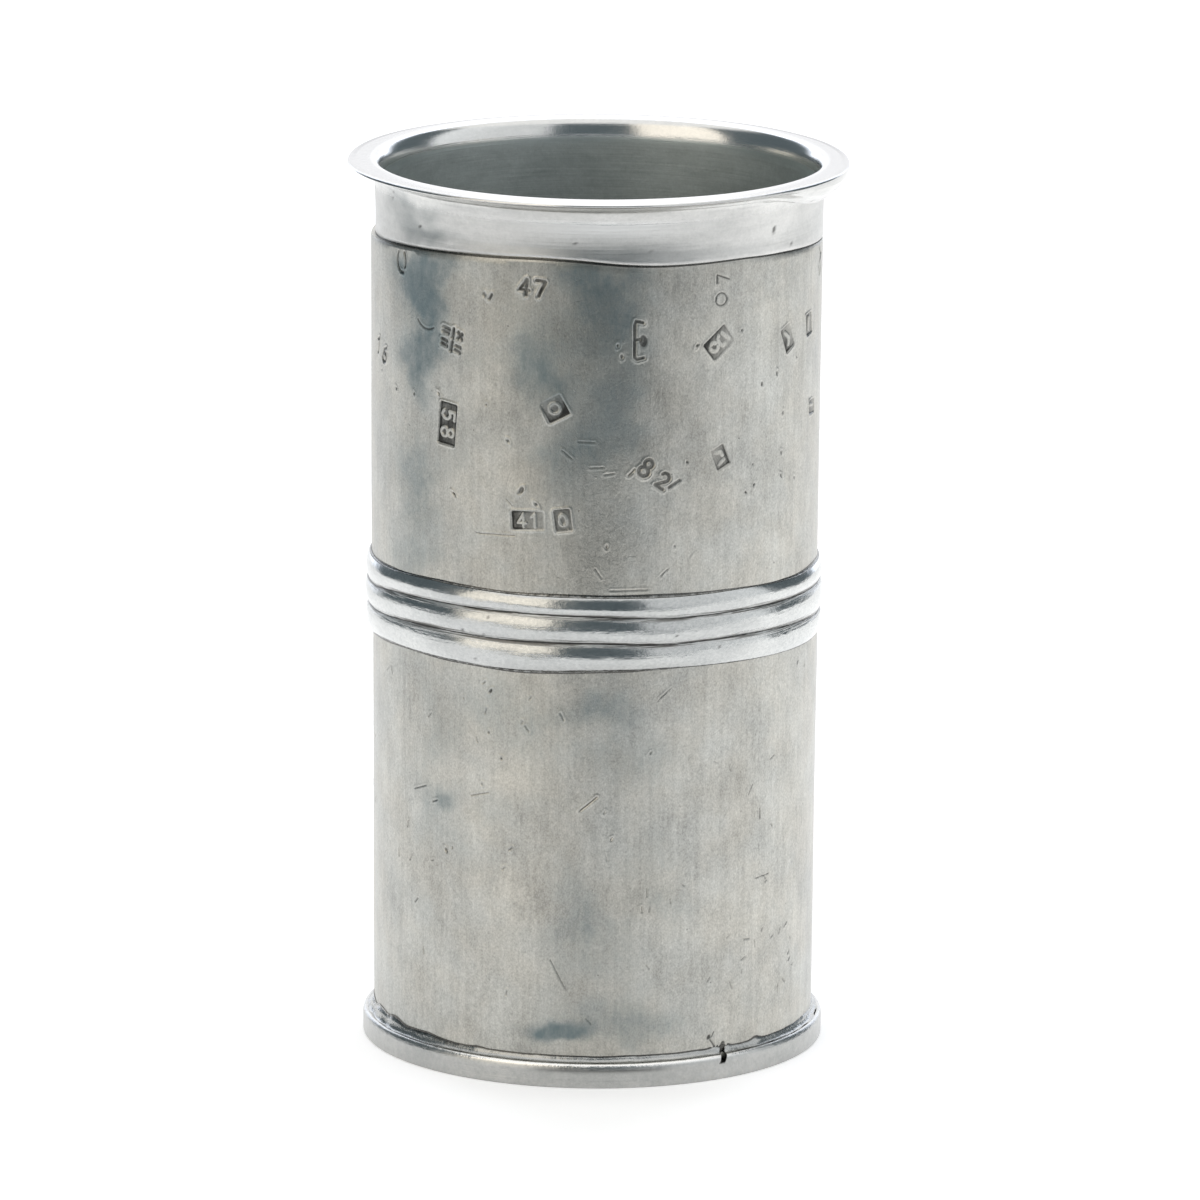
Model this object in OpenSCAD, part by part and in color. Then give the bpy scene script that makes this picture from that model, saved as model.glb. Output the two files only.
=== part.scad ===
// Pewter measure for one litre: a cylinder of two cast drums with a reeded band
// over their joint, a turned lip collar, a strip foot and a let-in base.
// Millimetres. The axis is Z, the table is at zero and the front faces -Y.

/* [Body] */
// Height from the table to the top of the brim
total_h = 179.4; // [150:0.1:220]
// Outside diameter of the upper drum at the seam under the collar
drum_top_d = 90.2; // [84:0.1:96]
// Outside diameter of the lower drum at the table
drum_foot_d = 88.5; // [84:0.1:96]
// Thickness of both drums' walls
wall = 1.8; // [1.4:0.1:3]
// Length of the laps by which the drums and the collar fit into each other
lap_h = 5; // [2:0.5:7]

/* [Lip collar] */
// Height of the collar and the brim together, from the seam to the top
collar_h = 14.2; // [12:0.1:20]
// How far the collar's surface lies inside that of the drum
collar_step = 0.4; // [0:0.05:0.65]
// How far the brim stands out beyond the collar
brim_w = 5.4; // [3:0.1:9]
// Thickness of the brim at its edge
brim_edge_t = 0.8; // [0.5:0.1:1.5]
// Height from the lower end of the cove to the top of the brim
cove_h = 6.4; // [3:0.1:8]
// How far round its ellipse the cove runs before the edge of the brim, in degrees
cove_sweep = 65; // [40:1:80]
// Height over which the throat curves out to the brim
throat_h = 4.6; // [2:0.1:6]
// How far the throat curves out before the brim is flat
throat_w = 2.1; // [1:0.1:3.5]

/* [Reeded band] */
// Height of the band's lower edge above the table
band_z = 83.8; // [60:0.1:110]
// Height of the lower reed
reed_low_h = 5.3; // [3:0.1:8]
// Height of the middle reed
reed_mid_h = 5.5; // [3:0.1:8]
// Height of the upper reed
reed_high_h = 4.3; // [3:0.1:8]
// Thickness of the band at its upper and lower edges
band_edge_t = 0.4; // [0.2:0.05:0.8]
// Thickness of the band under the two grooves between the reeds
groove_t = 0.75; // [0.3:0.05:1.2]
// How far the middle reed bulges between its grooves
bulge_mid = 0.55; // [0.3:0.05:1]
// How far the outer reeds bulge between their edges
bulge_side = 0.4; // [0.2:0.05:0.8]

/* [Foot] */
// Thickness of the foot strip
foot_t = 2.1; // [1.2:0.1:5]
// Width of the foot strip, which is its height above the table
foot_h = 4.9; // [3:0.1:10]
// Rounding of the foot strip's edges
foot_edge_r = 0.45; // [0.2:0.05:0.8]
// Angle of the strip's butt gap, to the right of the front
butt_angle = 36; // [0:1:359]
// Width of the butt gap
butt_w = 1.1; // [0.5:0.1:3]
// Depth of the butt gap that the solder hasn't filled
butt_h = 1.3; // [0.5:0.1:2.5]

/* [Base] */
// Height of the underside of the base above the table
base_z = 4.9; // [3:0.1:12]
// Thickness of the base
base_t = 2.4; // [1.5:0.1:4]
// Width of the ledge in the drum that the base seats against
base_ledge = 0.8; // [0.4:0.1:1]
// Width of the relief groove turned in the underside of the base
base_groove_w = 1.2; // [0.6:0.1:3]
// Diameter of the relief groove
base_groove_d = 60; // [30:1:74]

/* [Solder] */
// Thickness of the solder film in each seam
film = 0.05; // [0.03:0.01:0.1]
// Height of the fillet above the foot strip
foot_fillet_h = 2; // [1:0.1:4]
// Height of the fillets along the band
band_fillet_h = 0.5; // [0.3:0.05:0.8]
// Height and width of the fillet under the base
base_fillet = 1.2; // [0.5:0.1:2.5]
// Height of the solder line that shows in the collar seam
seam_t = 0.35; // [0.2:0.05:0.6]

/* [Hidden] */
$fn = 180;

pewter = [0.66, 0.66, 0.64];
pewter_bright = [0.74, 0.74, 0.73];
pewter_dark = [0.55, 0.56, 0.56];
solder_grey = [0.78, 0.78, 0.77];

// Height of the seam between the upper drum and the collar
seam_z = total_h - collar_h;
// Radius of the drums' outside at a height, on one straight taper
function drum_r(z) = (drum_foot_d + (drum_top_d - drum_foot_d) * z / seam_z) / 2;
// Radius of the drums' bore at a height
function bore_r(z) = drum_r(z) - wall;

// The collar's bore is that of the drum at the seam
throat_r = bore_r(seam_z);
collar_r = drum_r(seam_z) - collar_step;
brim_r = collar_r + brim_w;
// Radius of the lap between the collar's spigot and the drum's rebate
collar_lap_r = throat_r + wall / 2;

band_h = reed_low_h + reed_mid_h + reed_high_h;
band_top_z = band_z + band_h;
// The two drums lap under the middle of the band
joint_z = band_z + band_h / 2;
joint_lap_r = bore_r(joint_z) + wall / 2;

foot_bore_r = drum_r(foot_h) + film;
foot_r = foot_bore_r + foot_t;
base_seat_r = bore_r(base_z) + base_ledge;
base_top_z = base_z + base_t;

// Arc of points about a centre, with its own radius along each axis
function arc(cr, cz, ar, az, from, to, steps = 16) =
    [for (i = [0:steps]) let (a = from + (to - from) * i / steps)
        [cr + ar * cos(a), cz + az * sin(a)]];

// Turned ring from an outline drawn in radius and height
module turned() {
    rotate_extrude() children();
}

// Cutter for the butt gap, from a height upwards
module butt_cutter(from_z) {
    rotate([0, 0, butt_angle - 90])
        translate([0, -butt_w / 2, from_z])
            cube([foot_r + foot_t, butt_w, foot_h + foot_fillet_h]);
}

// Flared brim, throat and collar, turned from one casting
module lip_collar() {
    edge_r = brim_edge_t / 2;
    cove_z = total_h - cove_h;
    spigot_z = seam_z - lap_h;
    edge_z = total_h - edge_r;
    cove_r = (brim_r - edge_r - collar_r) / (1 - cos(cove_sweep));
    cove_rise = (cove_h - brim_edge_t) / sin(cove_sweep);
    color(pewter_bright)
        turned()
            polygon(concat(
                [[collar_lap_r - film, spigot_z],
                 [collar_lap_r - film, seam_z + seam_t],
                 [collar_r, seam_z + seam_t]],
                arc(collar_r + cove_r, cove_z, cove_r, cove_rise, 180, 180 - cove_sweep),
                arc(brim_r - edge_r, edge_z, edge_r, edge_r, -75, 90),
                arc(throat_r + throat_w, total_h - throat_h, throat_w, throat_h, 90, 180),
                [[throat_r, spigot_z]]));
}

// Thin line of solder that fills the seam under the collar
module collar_solder() {
    color(solder_grey)
        turned()
            translate([collar_lap_r, seam_z + film])
                square([collar_r - collar_lap_r, seam_t - 2 * film]);
}

// Upper drum: rebated at the top for the collar, reduced at the bottom for the lap
module upper_drum() {
    low_z = joint_z - lap_h / 2;
    color(pewter)
        turned()
            polygon([
                [bore_r(low_z), low_z],
                [joint_lap_r - film, low_z],
                [joint_lap_r - film, joint_z + lap_h / 2],
                [drum_r(joint_z + lap_h / 2), joint_z + lap_h / 2],
                [drum_r(seam_z), seam_z],
                [collar_lap_r, seam_z],
                [collar_lap_r, seam_z - lap_h - film],
                [bore_r(seam_z - lap_h - film), seam_z - lap_h - film]]);
}

// Lower drum: bored at the top for the lap and at the bottom for the base
module lower_drum() {
    top_z = joint_z + lap_h / 2 - film;
    color(pewter)
        turned()
            polygon([
                [base_seat_r, 0],
                [drum_r(0), 0],
                [drum_r(top_z), top_z],
                [joint_lap_r, top_z],
                [joint_lap_r, joint_z - lap_h / 2 - film],
                [bore_r(joint_z - lap_h / 2 - film), joint_z - lap_h / 2 - film],
                [bore_r(base_top_z + film), base_top_z + film],
                [base_seat_r, base_top_z + film]]);
}

// One rounded reed: a slice of the circle that bulges between two edges.
// Each edge is a height and the band's thickness there
module reed(z0, t0, z1, t1, bulge) {
    low = [drum_r(z0) + t0, z0];
    high = [drum_r(z1) + t1, z1];
    chord = high - low;
    half = norm(chord) / 2;
    bulge_r = (half * half + bulge * bulge) / (2 * bulge);
    outward = [chord.y, -chord.x] / norm(chord);
    intersection() {
        translate((low + high) / 2 - (bulge_r - bulge) * outward) circle(r = bulge_r);
        translate([bore_r(z0), z0]) square([wall + bulge_r, z1 - z0]);
    }
}

// Band of three reeds that sleeves the joint of the drums, bored to the drums' taper
module reed_band() {
    low_groove_z = band_z + reed_low_h;
    high_groove_z = low_groove_z + reed_mid_h;
    band_clear_r = drum_r(band_top_z) + groove_t + band_h;
    color(pewter_bright)
        turned()
            intersection() {
                union() {
                    reed(band_z, band_edge_t, low_groove_z, groove_t, bulge_side);
                    reed(low_groove_z, groove_t, high_groove_z, groove_t, bulge_mid);
                    reed(high_groove_z, groove_t, band_top_z, band_edge_t, bulge_side);
                }
                polygon([
                    [drum_r(band_z) + film, band_z],
                    [band_clear_r, band_z],
                    [band_clear_r, band_top_z],
                    [drum_r(band_top_z) + film, band_top_z]]);
            }
}

// Hollow fillet of solder in the corner between a wall and a ledge.
// way is 1 for a fillet above the ledge and -1 for one below it
module fillet_profile(wall_r, ledge_z, w, h, way) {
    polygon(concat(
        [[wall_r, ledge_z]],
        arc(wall_r + w, ledge_z + way * h, w, h, way * -90, way * -180, 10)));
}

// Fillet along the band's upper edge
module band_solder_upper() {
    z0 = band_top_z + film;
    wall_r = drum_r(z0 + band_fillet_h) + film;
    color(solder_grey)
        turned()
            fillet_profile(wall_r, z0, band_edge_t - film, band_fillet_h, 1);
}

// Fillet along the band's lower edge
module band_solder_lower() {
    z0 = band_z - film;
    wall_r = drum_r(z0) + film;
    color(solder_grey)
        turned()
            fillet_profile(wall_r, z0, band_edge_t - film, band_fillet_h, -1);
}

// Flat strip bent round the foot of the drum, with the gap where its ends meet
module foot_ring() {
    color(pewter)
        difference() {
            turned()
                polygon(concat(
                    [[foot_bore_r, 0]],
                    arc(foot_r - foot_edge_r, foot_edge_r, foot_edge_r, foot_edge_r, -90, 0, 6),
                    arc(foot_r - foot_edge_r, foot_h - foot_edge_r, foot_edge_r, foot_edge_r,
                        0, 90, 6),
                    [[foot_bore_r, foot_h]]));
            butt_cutter(foot_h - butt_h);
        }
}

// Sloping bead of solder on top of the foot strip, open at the butt gap
module foot_solder() {
    z0 = foot_h + film;
    wall_r = drum_r(z0 + foot_fillet_h) + film;
    color(solder_grey)
        difference() {
            turned()
                fillet_profile(wall_r, z0, foot_r - foot_edge_r - wall_r,
                               foot_fillet_h, 1);
            butt_cutter(foot_h - butt_h);
        }
}

// Round floor let into the lower drum from below, with a turned relief groove
module base_disc() {
    color(pewter_dark)
        turned()
            difference() {
                translate([0, base_z]) square([base_seat_r - film, base_t]);
                translate([base_groove_d / 2, base_z]) circle(d = base_groove_w);
            }
}

// Fillet under the base that makes it tight to the drum
module base_solder() {
    fillet_r = base_seat_r - film;
    color(solder_grey)
        turned()
            mirror([1, 0])
                fillet_profile(-fillet_r, base_z - film, base_fillet, base_fillet, -1);
}

lip_collar();
collar_solder();
upper_drum();
reed_band();
band_solder_upper();
band_solder_lower();
lower_drum();
foot_ring();
foot_solder();
base_disc();
base_solder();
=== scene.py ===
import bmesh
import bpy
import numpy as np
from mathutils import Matrix, Vector


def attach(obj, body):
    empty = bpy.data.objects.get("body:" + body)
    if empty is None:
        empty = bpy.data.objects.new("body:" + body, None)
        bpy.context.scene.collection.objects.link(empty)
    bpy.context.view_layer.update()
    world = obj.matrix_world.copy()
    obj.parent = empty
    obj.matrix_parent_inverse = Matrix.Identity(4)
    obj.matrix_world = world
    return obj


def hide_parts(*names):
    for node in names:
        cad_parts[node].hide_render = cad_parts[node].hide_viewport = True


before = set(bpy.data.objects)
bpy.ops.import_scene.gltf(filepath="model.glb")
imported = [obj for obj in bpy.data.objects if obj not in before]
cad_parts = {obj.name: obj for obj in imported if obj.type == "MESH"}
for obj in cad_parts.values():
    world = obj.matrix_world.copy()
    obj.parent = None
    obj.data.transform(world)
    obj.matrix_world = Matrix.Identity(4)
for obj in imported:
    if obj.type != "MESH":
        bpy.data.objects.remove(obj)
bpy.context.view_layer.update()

# The lower drum is a plain cylinder of cast pewter, skimmed on the lathe and worn smooth by
# handling. It is bored at the top for the lap of the upper drum and at the bottom for the
# base. Sizes are in millimetres, and angles in degrees to the right of the front.
FOOT_R = 44.25
TAPER = 0.00515
WALL = 1.8
JOINT_Z = 91.35
LAP = 5.0
BASE_SEAT_R = 43.27
BASE_TOP = 7.35
MM_PER_DEGREE = 0.785


def drum_r(z):
    """Radius of the outside of both drums at a height."""
    return FOOT_R + TAPER * z


def smooth(x, low, high):
    """Rises from 0 at low to 1 at high, with no corner at either end."""
    t = np.clip((x - low) / (high - low), 0, 1)
    return t * t * (3 - 2 * t)


def turn_from(a, start):
    """Angle from start the shorter way round, from -180 to 180."""
    return (a - start + 180) % 360 - 180


def turned(outline, angles=None, step=1.0):
    """Turns a closed outline of (radius, height) about the axis into a bmesh of quads."""
    if angles is None:
        angles = np.arange(288) * 1.25
    rows = []
    for (r0, z0), (r1, z1) in zip(outline, outline[1:] + outline[:1]):
        cuts = max(1, int(np.ceil(np.hypot(r1 - r0, z1 - z0) / step)))
        for i in range(cuts):
            rows.append((r0 + (r1 - r0) * i / cuts, z0 + (z1 - z0) * i / cuts))
    rows = np.array(rows)
    turn = np.radians(angles)[:, None]
    x = rows[:, 0] * np.sin(turn)
    y = -rows[:, 0] * np.cos(turn)
    z = rows[:, 1] + 0 * turn
    bm = bmesh.new()
    verts = [bm.verts.new(p) for p in np.stack([x, y, z], -1).reshape(-1, 3)]
    n = len(rows)
    for i in range(len(angles)):
        here = i * n
        there = (i + 1) % len(angles) * n
        for j in range(n):
            k = (j + 1) % n
            bm.faces.new([verts[here + j], verts[here + k], verts[there + k], verts[there + j]])
    bmesh.ops.recalc_face_normals(bm, faces=bm.faces)
    return bm


def polar(bm):
    """Angle, radius and height of every vertex."""
    co = np.array([v.co for v in bm.verts])
    return np.degrees(np.arctan2(co[:, 0], -co[:, 1])), np.hypot(co[:, 0], co[:, 1]), co[:, 2]


def place(bm, a, r, z, shift=0.0):
    """Puts the vertices back at new angles, radii and heights, a little off the axis."""
    turn = np.radians(a)
    new = np.stack([r * np.sin(turn) + shift, -r * np.cos(turn), z], -1)
    for v, co in zip(bm.verts, new):
        v.co = co


def refine(bm, spots):
    """Cuts the outside wall finely near each spot, an (angle, height, reach across, reach up)."""
    near = []
    for face in bm.faces:
        c = face.calc_center_median()
        r = np.hypot(c.x, c.y)
        if r < drum_r(c.z) - 0.1 or abs(face.normal.z) > 0.5:
            continue
        a = np.degrees(np.arctan2(c.x, -c.y))
        for a0, z0, across, up in spots:
            aside = abs(turn_from(a, a0)) * MM_PER_DEGREE
            if abs(c.z - z0) < up + 0.9 and aside < across + 0.9:
                near.append(face)
                break
    edges = list({e for face in near for e in face.edges})
    bmesh.ops.subdivide_edges(bm, edges=edges, cuts=6, use_grid_fill=True)


def relief_of_marks(a, z, marks):
    """Height of the surface and its grime where the marks are struck.
    A mark is (angle, height, tilt, reach, form), and form gives depth and grime from u and v."""
    height = np.zeros(len(a))
    grime = np.zeros(len(a))
    for a0, z0, tilt, reach, form in marks:
        u = turn_from(a, a0) * MM_PER_DEGREE
        v = z - z0
        near = (abs(u) < reach) & (abs(v) < reach)
        if not near.any():
            continue
        c, s = np.cos(np.radians(tilt)), np.sin(np.radians(tilt))
        h, g = form(u[near] * c + v[near] * s, -u[near] * s + v[near] * c)
        height[near] += h
        grime[near] = np.maximum(grime[near], g)
    return height, grime


def groove(d, depth, soft=0.11):
    """Depth and grime of a sunk shape from the distance to its edge, with a raised burr."""
    inside = 1 - smooth(d, -soft, soft)
    burr = np.exp(-((d - 0.34) / 0.2) ** 2)
    return burr * depth * 0.4 - inside * depth, inside


def pit(width, depth, slant=0.0):
    """A cast blowhole: a small ragged hollow, longer one way than the other."""
    def form(u, v):
        d = np.hypot(u + slant * v, v * 0.7) - width
        return groove(d, depth, 0.12)
    return form


def scratch(length, half=0.07, depth=0.09, dirt=0.95):
    """A straight scratch along u."""
    def form(u, v):
        d = np.hypot(np.maximum(abs(u) - length / 2, 0), v) - half
        h, g = groove(d, depth, 0.07)
        return h, g * dirt
    return form


def waviness(a, z, size, seed):
    """Slow dents of a wall that was hammered true and knocked about, in millimetres."""
    rng = np.random.default_rng(seed)
    total = np.zeros(len(a))
    turn = np.radians(a)
    for k in range(2, 9):
        for m in range(1, 4):
            phase = rng.uniform(0, 6.28, 2)
            total += rng.normal() / (k + m) * np.cos(k * turn + phase[0]) * np.cos(
                m * z / 28 + phase[1])
    return total * size


def patches(a, z, spots):
    """Soft dark clouds, of tarnish and in places of painted shade: each is (angle, height, half
    width, half height, strength).
    """
    total = np.zeros(len(a))
    x = a * MM_PER_DEGREE
    du = 1.6 * np.sin(z / 3.1 + x / 7) + 0.8 * np.sin(z / 1.3 - x / 2.9) + 0.4 * np.sin(z * 1.9 + x)
    dv = 1.6 * np.sin(x / 3.7 - z / 9) + 0.8 * np.sin(x / 1.5 + z / 3.3) + 0.4 * np.sin(x * 1.7 - z)
    for a0, z0, across, up, strength in spots:
        loose = min(1.0, max(0.2, min(across, up) / 6))
        u = (turn_from(a, a0) * MM_PER_DEGREE + du * loose) / across
        v = (z - z0 + dv * loose) / up
        total += strength * (1 - smooth(np.hypot(u, v), 0.2, 1.35))
    return np.clip(total, -1, 1)


def piece(name, bm, finish, crease=48, **layers):
    """Makes the object in metres, smooth but for its turned corners, with its finish."""
    mesh = bpy.data.meshes.new(name)
    bm.to_mesh(mesh)
    bm.free()
    mesh.transform(((0.001, 0, 0, 0), (0, 0.001, 0, 0), (0, 0, 0.001, 0), (0, 0, 0, 1)))
    mesh.shade_smooth()
    mesh.set_sharp_from_angle(angle=np.radians(crease))
    for layer, values in layers.items():
        attribute = mesh.attributes.new(layer, "FLOAT", "POINT")
        attribute.data.foreach_set("value", np.asarray(values, np.float32))
    mesh.materials.append(finish)
    made = bpy.data.objects.new(name, mesh)
    bpy.context.scene.collection.objects.link(made)
    return made


class Strand:
    """One output in a material, on which plain arithmetic adds Math nodes."""

    def __init__(self, finish, out):
        self.finish = finish
        self.out = out

    def math(self, operation, a, b=0.0):
        return self.finish.node("ShaderNodeMath", {"operation": operation}, {0: a, 1: b})

    def __add__(self, other):
        return self.math("ADD", self, other)

    def __radd__(self, other):
        return self.math("ADD", other, self)

    def __sub__(self, other):
        return self.math("SUBTRACT", self, other)

    def __rsub__(self, other):
        return self.math("SUBTRACT", other, self)

    def __mul__(self, other):
        return self.math("MULTIPLY", self, other)

    def __rmul__(self, other):
        return self.math("MULTIPLY", other, self)

    def __pow__(self, other):
        return self.math("POWER", self, other)


class Finish:
    """The node tree of one finish, of the floor or of the studio."""

    def __init__(self, tree):
        self.tree = tree
        tree.nodes.clear()

    def node(self, kind, settings=None, sockets=None, out=0):
        made = self.tree.nodes.new(kind)
        for key, value in (settings or {}).items():
            setattr(made, key, value)
        for key, value in (sockets or {}).items():
            if isinstance(value, Strand):
                self.tree.links.new(value.out, made.inputs[key])
            else:
                made.inputs[key].default_value = value
        return Strand(self, made.outputs[out]) if made.outputs else None

    def point(self, stretch=(1.0, 1.0, 1.0)):
        """Place on the object in millimetres, squeezed along an axis to draw the grain out."""
        spot = self.node("ShaderNodeTexCoord", out="Object")
        scale = [1000 * s for s in stretch]
        return self.node("ShaderNodeVectorMath", {"operation": "MULTIPLY"}, {0: spot, 1: scale})

    def noise(self, per_mm, detail=3.0, rough=0.55, stretch=(1.0, 1.0, 1.0)):
        """Noise about 0, from about -1 to 1, with so many waves to the millimetre."""
        raw = self.node("ShaderNodeTexNoise", {"noise_dimensions": "3D"},
                        {"Vector": self.point(stretch), "Scale": per_mm, "Detail": detail,
                         "Roughness": rough})
        return (raw - 0.5) * 2.6

    def layer(self, name):
        """A value that the mesh carries, such as its grime."""
        return self.node("ShaderNodeAttribute", {"attribute_name": name}, out="Fac")

    def step(self, value, low, high):
        """A value mapped from low and high to 0 and 1, with soft ends."""
        return self.node("ShaderNodeMapRange", {"interpolation_type": "SMOOTHSTEP"},
                         {"Value": value, "From Min": low, "From Max": high})

    def blend(self, share, a, b):
        """Colour a, giving way to colour b by share."""
        colours = [c if isinstance(c, Strand) else (*c, 1.0) for c in (a, b)]
        return self.node("ShaderNodeMix", {"data_type": "RGBA", "clamp_factor": True},
                         {0: share, 6: colours[0], 7: colours[1]}, out=2)

    def tint(self, share, colour, cool, warm):
        """The colour, multiplied by a tint that runs from cool to warm by share."""
        return self.node("ShaderNodeMix", {"data_type": "RGBA", "blend_type": "MULTIPLY"},
                         {0: 1.0, 6: colour, 7: self.blend(share, cool, warm)}, out=2)

    def size(self, value):
        """The value without its sign."""
        return self.node("ShaderNodeMath", {"operation": "ABSOLUTE"}, {0: value})

    def metal(self, colour, roughness, height, depth):
        """A metal surface with fine relief, whose height runs over depth millimetres."""
        bump = self.node("ShaderNodeBump", None,
                         {"Strength": 1.0, "Distance": depth / 1000, "Height": height})
        shader = self.node("ShaderNodeBsdfPrincipled", {"distribution": "MULTI_GGX"},
                           {"Base Color": colour, "Metallic": 1.0, "Roughness": roughness,
                            "Normal": bump})
        self.node("ShaderNodeOutputMaterial", None, {"Surface": shader})


def new_finish(name):
    """An empty material, and the means to build its nodes."""
    material = bpy.data.materials.new(name)
    material.use_nodes = True
    return material, Finish(material.node_tree)


def cast_finish():
    """Old skimmed pewter: warm grey, blue-grey where tarnish has crept and, low on the front of
    the lower drum, as painted shade, with a fine upright grain, cloudy wear and black dirt in
    every mark."""
    material, f = new_finish("cast_pewter")
    grain = f.noise(1.0, 3, 0.6, (1, 1, 0.04))
    cloud = f.noise(0.06, 3, 0.6)
    drift = f.noise(0.18, 3, 0.6, (1, 1, 0.6))
    mottle = f.noise(0.5, 3, 0.65, (1, 1, 0.55))
    wool = f.noise(1.5, 2, 0.6, (1, 1, 0.75))
    fine = f.noise(3.3, 2, 0.5, (1, 1, 0.75))
    tone = 0.5 + 0.36 * cloud + 0.27 * drift + 0.18 * mottle + 0.22 * wool + 0.42 * fine
    bright = f.blend(tone + 0.20 * grain, (0.298, 0.293, 0.275), (0.618, 0.608, 0.572))
    warmth = f.step(f.noise(0.08, 3, 0.6), -0.5, 0.5)
    tinted = f.tint(warmth, bright, (0.982, 1.0, 1.0), (1.012, 1.0, 0.965))
    tarnish = f.step(f.layer("tarnish") + 0.10 * cloud + 0.12 * drift + 0.12 * mottle, 0.0, 1.0)
    toned = f.blend(tarnish * (0.92 + 0.3 * mottle), tinted, (0.165, 0.208, 0.218))
    cell = f.node("ShaderNodeTexVoronoi", {"feature": "F1"},
                  {"Vector": f.point(), "Scale": 0.27, "Detail": 0.0})
    speck = (1 - f.step(cell, 0.02, 0.075)) * f.step(mottle, -0.1, 0.4)
    dot = f.node("ShaderNodeTexVoronoi", {"feature": "F1"},
                 {"Vector": f.point((1.0, 1.0, 0.8)), "Scale": 0.41, "Detail": 0.0})
    pimple = (1 - f.step(dot, 0.03, 0.13)) * f.step(drift, 0.0, 0.35)
    thread = f.noise(0.055, 1, 0.5)
    hair = (1 - f.step(f.size(thread), 0.0, 0.010)) * f.step(drift, 0.1, 0.5)
    marked = f.blend(speck * 0.7 + hair * 0.3, toned, (0.08, 0.08, 0.078))
    colour = f.blend(f.layer("grime") * (0.78 + 0.45 * mottle), marked, (0.05, 0.05, 0.047))
    rough = 0.36 + 0.05 * cloud + 0.04 * mottle + 0.06 * tarnish
    relief = 0.3 * grain + 0.7 * mottle + 0.6 * wool + 0.45 * fine + 1.6 * pimple - 2.4 * speck
    f.metal(colour, rough, relief - 0.8 * hair, 0.022)
    return material


cast_pewter = cast_finish()
low_marks = [
    (-41.2, 45.4, 0, 2, pit(0.28, 0.2, 0.5)),
    (-39.1, 46.3, 0, 2, pit(0.15, 0.12)),
    (-27.5, 79.5, 0, 2, pit(0.26, 0.2, -0.6)),
    (-28.0, 71.0, 0, 2, pit(0.16, 0.12)),
    (-35.5, 77.2, 0, 2, pit(0.1, 0.08)),
    (-30.5, 58.2, 15, 5, scratch(4.2)),
    (-1.4, 57.8, 40, 5, scratch(4.4, 0.13, 0.14)),
    (-51, 57.0, 20, 5, scratch(4.0)),
    (-9, 22.8, -62, 6, scratch(6.6)),
    (18.3, 80.0, 38, 4, scratch(3.0, 0.05, 0.05)),
    (17.2, 79.2, 44, 4, scratch(2.2, 0.04, 0.04)),
    (44.2, 57.9, 60, 4, scratch(2.4)),
    (49.2, 39.5, 4, 5, scratch(4.0)),
    (31.6, 8.4, 0, 2, pit(0.34, 0.2, -0.4)),
    (32.8, 8.9, 62, 2, scratch(1.0, 0.14, 0.1)),
    (32.6, 7.2, -52, 2, scratch(1.6, 0.16, 0.12)),
    (35.1, 5.1, 62, 4, scratch(3.4, 0.5, 0.1)),
]
rng = np.random.default_rng(6)
ticks = list(zip(rng.uniform(-180, 180, 60), rng.uniform(9, 82, 60)))
ticks += list(zip(rng.uniform(36, 66, 16), rng.uniform(15, 30, 16)))
ticks += list(zip(rng.uniform(-60, 60, 24), rng.uniform(30, 82, 24)))
for a0, z0 in ticks:
    tick = scratch(rng.uniform(0.3, 1.6), rng.uniform(0.08, 0.13), rng.uniform(0.07, 0.15), 0.42)
    low_marks.append((a0, z0, rng.normal(75, 40), 1.6, tick))
# Tarnish on the lower drum. The broad patches low at the front are painted shade: they darken the
# front of the drum near the bottom.
low_tarnish_and_front_shade = [
    (-9.5, 10.9, 9, 2.5, 0.6), (-8, 10.6, 5.5, 1.4, 0.6), (8, 12.5, 18, 5, 0.38),
    (-24, 75, 11, 9, 0.32), (-47, 58, 6, 14, 0.2), (-41, 55, 3, 2.2, 0.4), (2, 77, 11, 4.5, 0.5),
    (8, 68, 12, 7, 0.3), (-5, 39, 7, 9, 0.34), (-1, 30, 10, 9, 0.28), (-50, 40, 6, 20, 0.15),
    (14, 45, 8, 8, 0.2), (-24, 56, 8, 5, 0.2), (5, 20, 17, 9, 0.15), (-38, 46, 5, 6, 0.2),
    (-12, 66, 7, 14, 0.16), (-46, 78, 10, 6, 0.22), (-42, 70, 8, 5, 0.24),
    (-40, 55, 8, 5, 0.15), (20, 37, 9, 4, 0.24), (-10, 18, 7, 5, 0.12),
]
bm = turned([
    (BASE_SEAT_R, 0),
    (drum_r(0), 0),
    (drum_r(JOINT_Z + LAP / 2), JOINT_Z + LAP / 2),
    (drum_r(JOINT_Z) - WALL / 2, JOINT_Z + LAP / 2),
    (drum_r(JOINT_Z) - WALL / 2, JOINT_Z - LAP / 2),
    (drum_r(JOINT_Z) - WALL, JOINT_Z - LAP / 2),
    (drum_r(BASE_TOP) - WALL, BASE_TOP),
    (BASE_SEAT_R, BASE_TOP)])
refine(bm, [(a0, z0, reach * 0.55, reach * 0.4) for a0, z0, tilt, reach, form in low_marks])
a, r, z = polar(bm)
outside = r > drum_r(z) - 0.1
sunk, grime = relief_of_marks(a, z, low_marks)
r = np.where(outside, drum_r(z) + sunk + waviness(a, z, 0.07, 3), r)
place(bm, a, r, z, 0.08)
lower_drum = piece("lower_drum_wall", bm, cast_pewter, grime=grime * outside,
                   tarnish=patches(a, z, low_tarnish_and_front_shade) * outside)
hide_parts("lower_drum")
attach(lower_drum, "root")

# The base is a round plate of cast pewter let into the lower drum from below, dull and stained
# because nobody polishes it, with one relief groove turned in its underside.
BASE_Z = 4.9


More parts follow.
